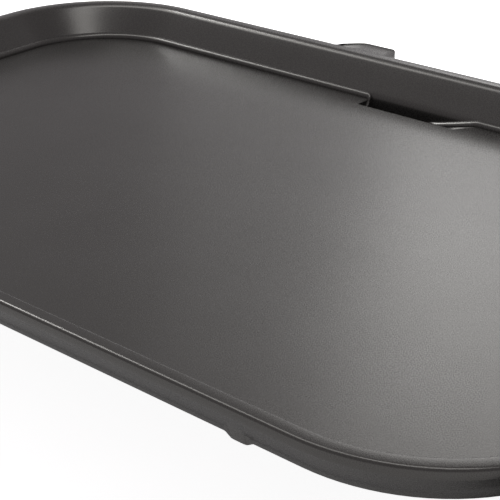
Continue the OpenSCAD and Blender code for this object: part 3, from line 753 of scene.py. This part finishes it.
def build_knob():
    """The temperature knob: a skirt, a fluted grip with a slightly dished top, and a pointer."""
    low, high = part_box("control_knob")
    centre = (low + high) / 2
    skirt_r = (high.x - low.x) / 2
    flute, flutes, steps = 0.9 * MM, 12, 144
    rows = knob_rows(skirt_r, high.z - low.z)
    verts = []
    for z, r, share in rows:
        for i in range(steps):
            a = 2 * math.pi * i / steps
            cut = flute * share * (0.5 - 0.5 * math.cos(flutes * a)) ** 2
            x, y = (r - cut) * math.cos(a), (r - cut) * math.sin(a)
            verts.append(Vector((centre.x + x, centre.y + y, low.z + z)))
    faces = ring_faces(len(rows), steps)
    knob = mesh_object("fluted_knob", verts, faces, KNOB, "knob", angle=40)
    stand_for(knob, "control_knob")
    pointer = (centre.x, centre.y + 0.9 * skirt_r, low.z + 2.75 * MM)
    bar("knob_pointer", pointer, turn=90, long=2.6 * MM, wide=1.0 * MM, body="knob")
    return centre, skirt_r


def bar(name, centre, turn, long, wide, body):
    """A thin printed bar, long in the direction that turn gives in degrees."""
    thick, steps, blunt = 0.12 * MM, 16, 1.3
    a = math.radians(turn)
    way = Vector((math.cos(a), math.sin(a), 0)) * (long / 2)
    side = Vector((-math.sin(a), math.cos(a), 0)) * (wide / 2)
    outline = []
    for i in range(steps):
        t = 2 * math.pi * i / steps
        along = max(-1, min(1, blunt * math.cos(t)))
        across = max(-1, min(1, blunt * math.sin(t)))
        outline.append(Vector(centre) + way * along + side * across)
    verts = outline + [v + Vector((0, 0, thick)) for v in outline]
    mark = mesh_object(name, verts, ring_faces(2, steps), PRINT, body, angle=30)


def build_dial():
    """Ten marks round the knob on the support's top, 30 degrees apart, every third one longer."""
    long_mark, short_mark = 3.2 * MM, 1.9 * MM
    wide, gap = 0.8 * MM, 1.2 * MM
    centre, skirt_r = build_knob()
    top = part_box("right_end_support")[1].z
    for i in range(10):
        turn = 90 - 30 * i
        a = math.radians(turn)
        long = short_mark if i % 3 else long_mark
        out = skirt_r + gap + long / 2
        place = (centre.x + out * math.cos(a), centre.y + out * math.sin(a), top)
        bar(f"dial_mark_{i + 1}", place, turn, long, wide, "base")


def build_base():
    """Every CAD node but the plate: given a finish, rounded, or replaced by a finer piece."""
    for node, (material, width) in FINISH.items():
        if width:
            softened(node, material, width * MM)
        else:
            frame["nodes"][node].data.materials.clear()
            frame["nodes"][node].data.materials.append(material)
    for side in ("left", "right"):
        build_grip(side)
    build_screws("tub_screws", head_h=2.2 * MM, shank_r=1.6 * MM)
    build_screws("grip_screws", head_h=1.8 * MM, shank_r=1.5 * MM)
    build_screws("cover_screws", head_h=1.8 * MM, shank_r=1.2 * MM)
    build_spring()
    build_dial()


build_base()

# ---- floor, light and camera ----
FLOOR_HALF = 8                          # metres
FLOOR_GLOW = (0.12, 0.9)                # what it gives the object, and what the camera sees
WORLD_COLOR = (1.0, 0.935, 0.975, 1)
WORLD_GLOW = (0.33, 1.07)
AIM = (0, 0, 0.06)
# each light's name, place, aim (None: straight down), width and height in metres, and watts
LIGHTS = (
    ("back_box", (-0.33, 1.85, 1.17), AIM, (1.6, 0.76), 10.6),
    ("back_left_box", (-1.09, 1.6, 1.04), AIM, (0.7, 0.8), 0.8),
    ("left_strip", (-1.9, 0.3, 1.45), AIM, (0.35, 1.2), 24),
    ("low_card", (-2.2, 2.9, 0.2), AIM, (3.4, 0.36), 5),
    ("overhead_strip", (-0.5, -0.25, 1.66), None, (2.8, 0.45), 15),
)


def build_stage():
    """A wide pale floor with a soft glow."""
    material, tree, shader = new_material("pale_floor", (0.8, 0.8, 0.8), 0.0, 0.9)
    shader.inputs["Emission Color"].default_value = (1, 1, 1, 1)
    tree.links.new(camera_split(tree, *FLOOR_GLOW), shader.inputs["Emission Strength"])
    corners = [(x * FLOOR_HALF, y * FLOOR_HALF, 0) for x, y in ((-1, -1), (1, -1), (1, 1), (-1, 1))]
    mesh = bpy.data.meshes.new("studio_floor")
    mesh.from_pydata(corners, [], [(0, 1, 2, 3)])
    mesh.materials.append(material)
    floor = bpy.data.objects.new("studio_floor", mesh)
    bpy.context.scene.collection.objects.link(floor)


def soft_box(name, place, aim, size, power):
    """A rectangular area light."""
    light = bpy.data.lights.new(name, "AREA")
    light.shape = "RECTANGLE"
    light.size, light.size_y = size
    light.energy = power
    obj = bpy.data.objects.new(name, light)
    obj.location = place
    if aim:
        obj.rotation_euler = (Vector(aim) - Vector(place)).to_track_quat("-Z", "Y").to_euler()
    bpy.context.scene.collection.objects.link(obj)


def build_lights():
    """The world's even light, and the boxes that the plate reflects."""
    world = bpy.data.worlds.new("studio")
    bpy.context.scene.world = world
    world.use_nodes = True
    tree = world.node_tree
    back = tree.nodes["Background"]
    back.inputs["Color"].default_value = WORLD_COLOR
    tree.links.new(camera_split(tree, *WORLD_GLOW), back.inputs["Strength"])
    for light in LIGHTS:
        soft_box(*light)


def build_camera():
    """The camera at the photograph's viewing angle."""
    data = bpy.data.cameras.new("photo_camera")
    data.sensor_width = CAMERA_SENSOR
    data.lens = CAMERA_LENS
    data.clip_start = CAMERA_NEAREST
    camera = bpy.data.objects.new("photo_camera", data)
    camera.location = CAMERA_PLACE + Vector((0, PLATE_Y, RIM_Z))
    camera.rotation_euler = (math.pi / 2 - CAMERA_PITCH, 0, CAMERA_YAW)
    bpy.context.scene.collection.objects.link(camera)
    bpy.context.scene.camera = camera


build_stage()
build_lights()
build_camera()
bpy.context.scene.view_settings.view_transform = "Standard"
